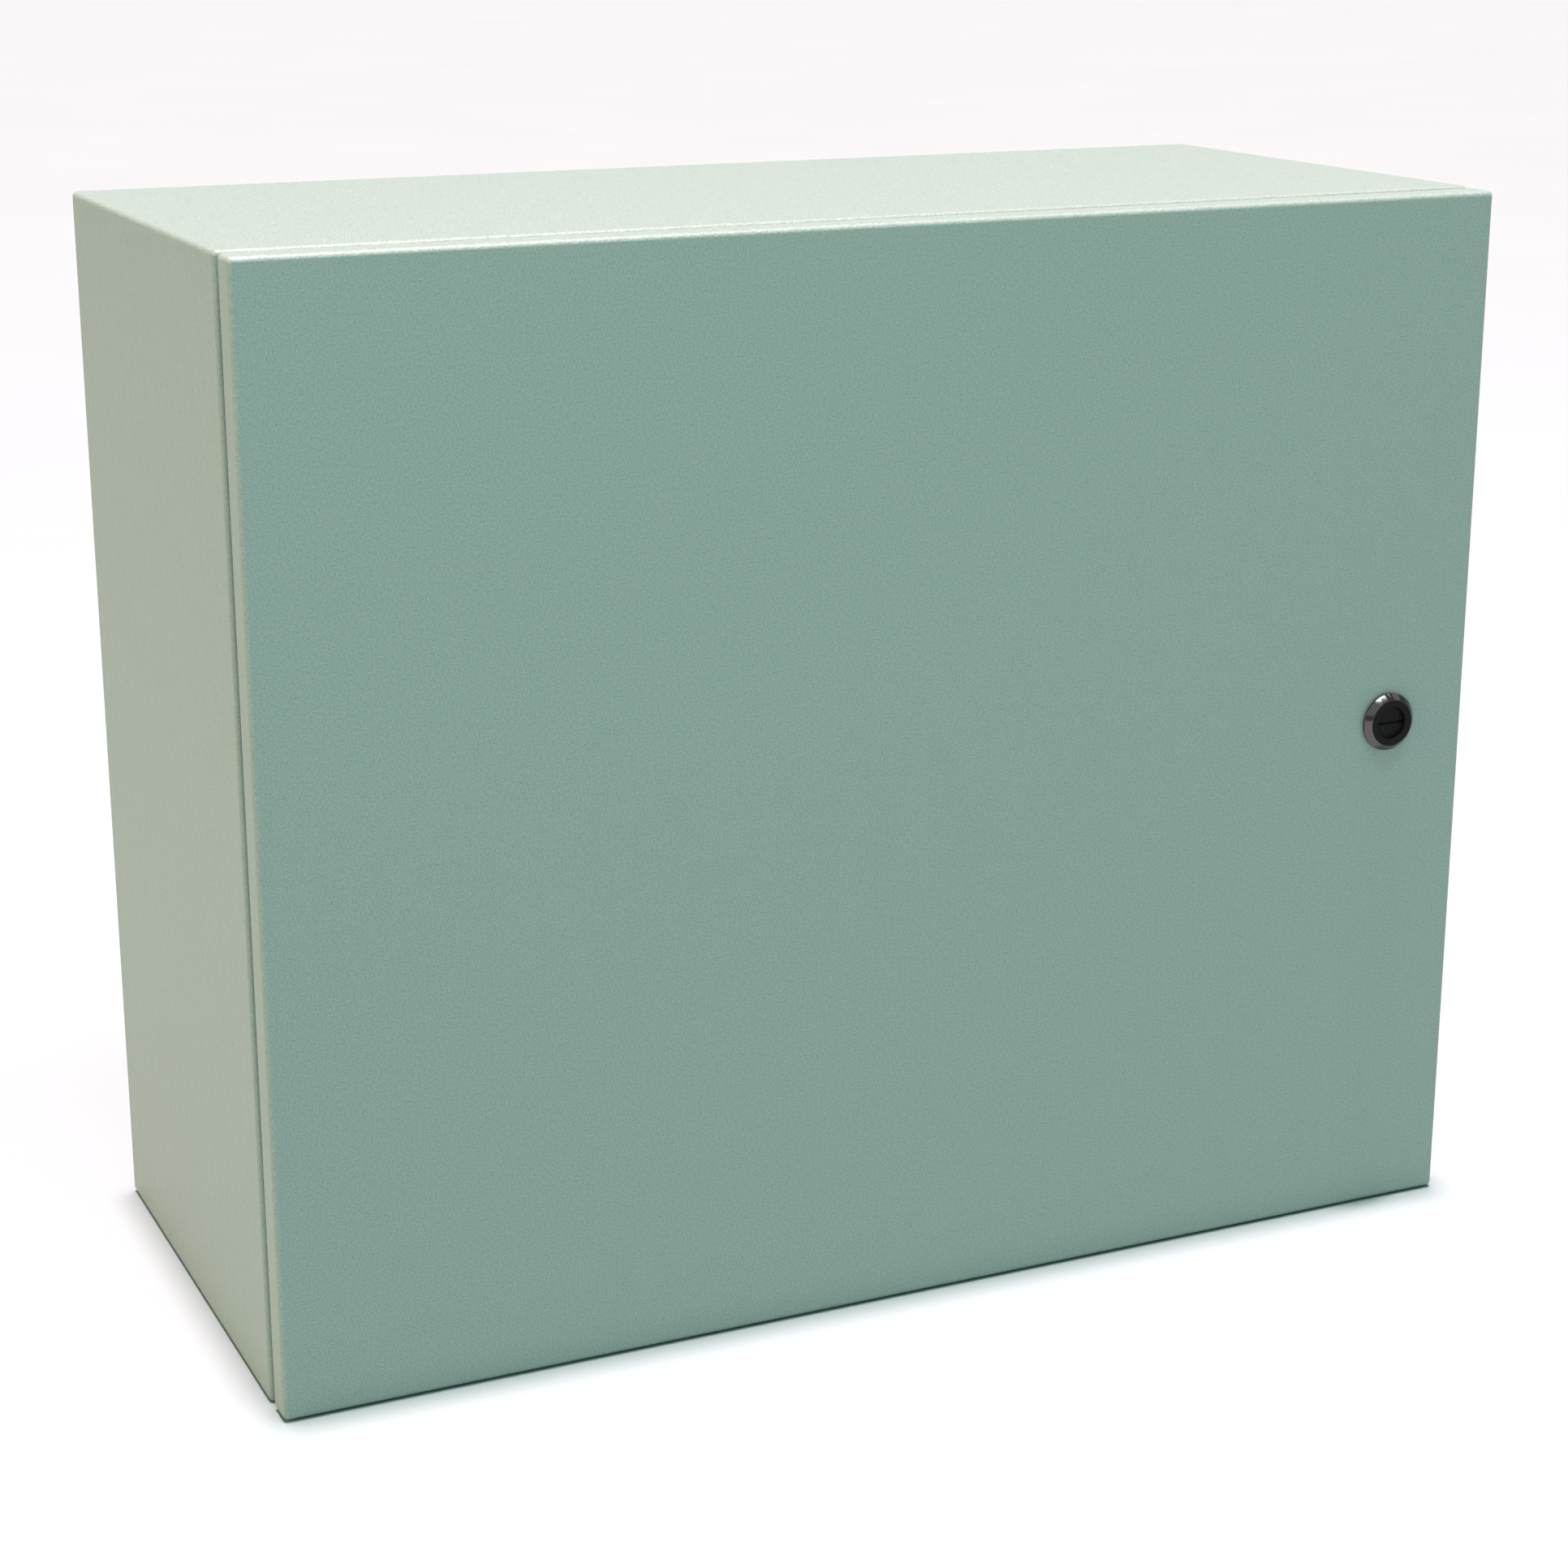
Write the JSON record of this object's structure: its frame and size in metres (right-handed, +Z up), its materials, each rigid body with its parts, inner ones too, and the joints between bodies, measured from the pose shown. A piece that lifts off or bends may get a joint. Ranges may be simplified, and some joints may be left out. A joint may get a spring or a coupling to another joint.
{
  "type": "wall-mount electrical enclosure",
  "caption": "Wall-mount sheet-steel electrical enclosure with a full-front hinged door, slotted quarter-turn latch, door gasket, concealed hinges and inner mounting panel.",
  "frame": {"origin": "centre of the back face, which lies on the wall", "axes": "+X to the right of a person facing the door, +Y into the wall, +Z up; the door and its latch face -Y"},
  "size_m": [0.6096, 0.2791, 0.508],
  "materials": {
    "paint": "pale green-grey powder coat, finely textured, satin",
    "panel_coat": "white powder coat, satin",
    "zinc_steel": "zinc plated",
    "dark_chrome": "dark chrome, polished",
    "black_plastic": "black, satin",
    "gasket_foam": "foamed-in-place gasket, matt"
  },
  "bodies": {
    "cabinet": {"back_wall": "paint", "body_shell": "paint", "earth_nut_body": "zinc_steel", "earth_stud_body": "zinc_steel", "earth_washer_body": "zinc_steel", "hinge_body_leaf_lower": "zinc_steel", "hinge_body_leaf_upper": "zinc_steel", "hinge_nut_lower_1": "zinc_steel", "hinge_nut_lower_2": "zinc_steel", "hinge_nut_upper_1": "zinc_steel", "hinge_nut_upper_2": "zinc_steel", "hinge_pin_lower": "zinc_steel", "hinge_pin_upper": "zinc_steel", "hinge_screw_lower_1": "zinc_steel", "hinge_screw_lower_2": "zinc_steel", "hinge_screw_upper_1": "zinc_steel", "hinge_screw_upper_2": "zinc_steel", "mounting_panel": "panel_coat", "panel_nut_lower_left": "zinc_steel", "panel_nut_lower_right": "zinc_steel", "panel_nut_upper_left": "zinc_steel", "panel_nut_upper_right": "zinc_steel", "panel_stud_lower_left": "zinc_steel", "panel_stud_lower_right": "zinc_steel", "panel_stud_upper_left": "zinc_steel", "panel_stud_upper_right": "zinc_steel", "wall_plug_lower_left": "black_plastic", "wall_plug_lower_right": "black_plastic", "wall_plug_upper_left": "black_plastic", "wall_plug_upper_right": "black_plastic"},
    "door": {"door_gasket": "gasket_foam", "door_panel": "paint", "door_rail_left": "zinc_steel", "door_rail_right": "zinc_steel", "earth_nut_door": "zinc_steel", "earth_stud_door": "zinc_steel", "earth_washer_door": "zinc_steel", "hinge_door_leaf_lower": "zinc_steel", "hinge_door_leaf_upper": "zinc_steel", "hinge_stud_lower_1": "zinc_steel", "hinge_stud_lower_2": "zinc_steel", "hinge_stud_nut_lower_1": "zinc_steel", "hinge_stud_nut_lower_2": "zinc_steel", "hinge_stud_nut_upper_1": "zinc_steel", "hinge_stud_nut_upper_2": "zinc_steel", "hinge_stud_upper_1": "zinc_steel", "hinge_stud_upper_2": "zinc_steel", "latch_housing": "dark_chrome", "latch_nut": "zinc_steel", "latch_seal": "black_plastic"},
    "latch": {"latch_driver": "black_plastic", "latch_cam": "zinc_steel", "cam_washer": "zinc_steel", "cam_screw": "zinc_steel"}
  },
  "joints": [
    {"name": "door_hinge", "type": "hinge", "parent": "cabinet", "child": "door", "pos_m": [-0.2988, -0.2635, 0], "axis": [0, 0, -1], "range_deg": [0, 120]},
    {"name": "latch_turn", "type": "hinge", "parent": "door", "child": "latch", "pos_m": [0.2598, -0.2745, 0], "axis": [0, 1, 0], "range_deg": [0, 90]}
  ]
}
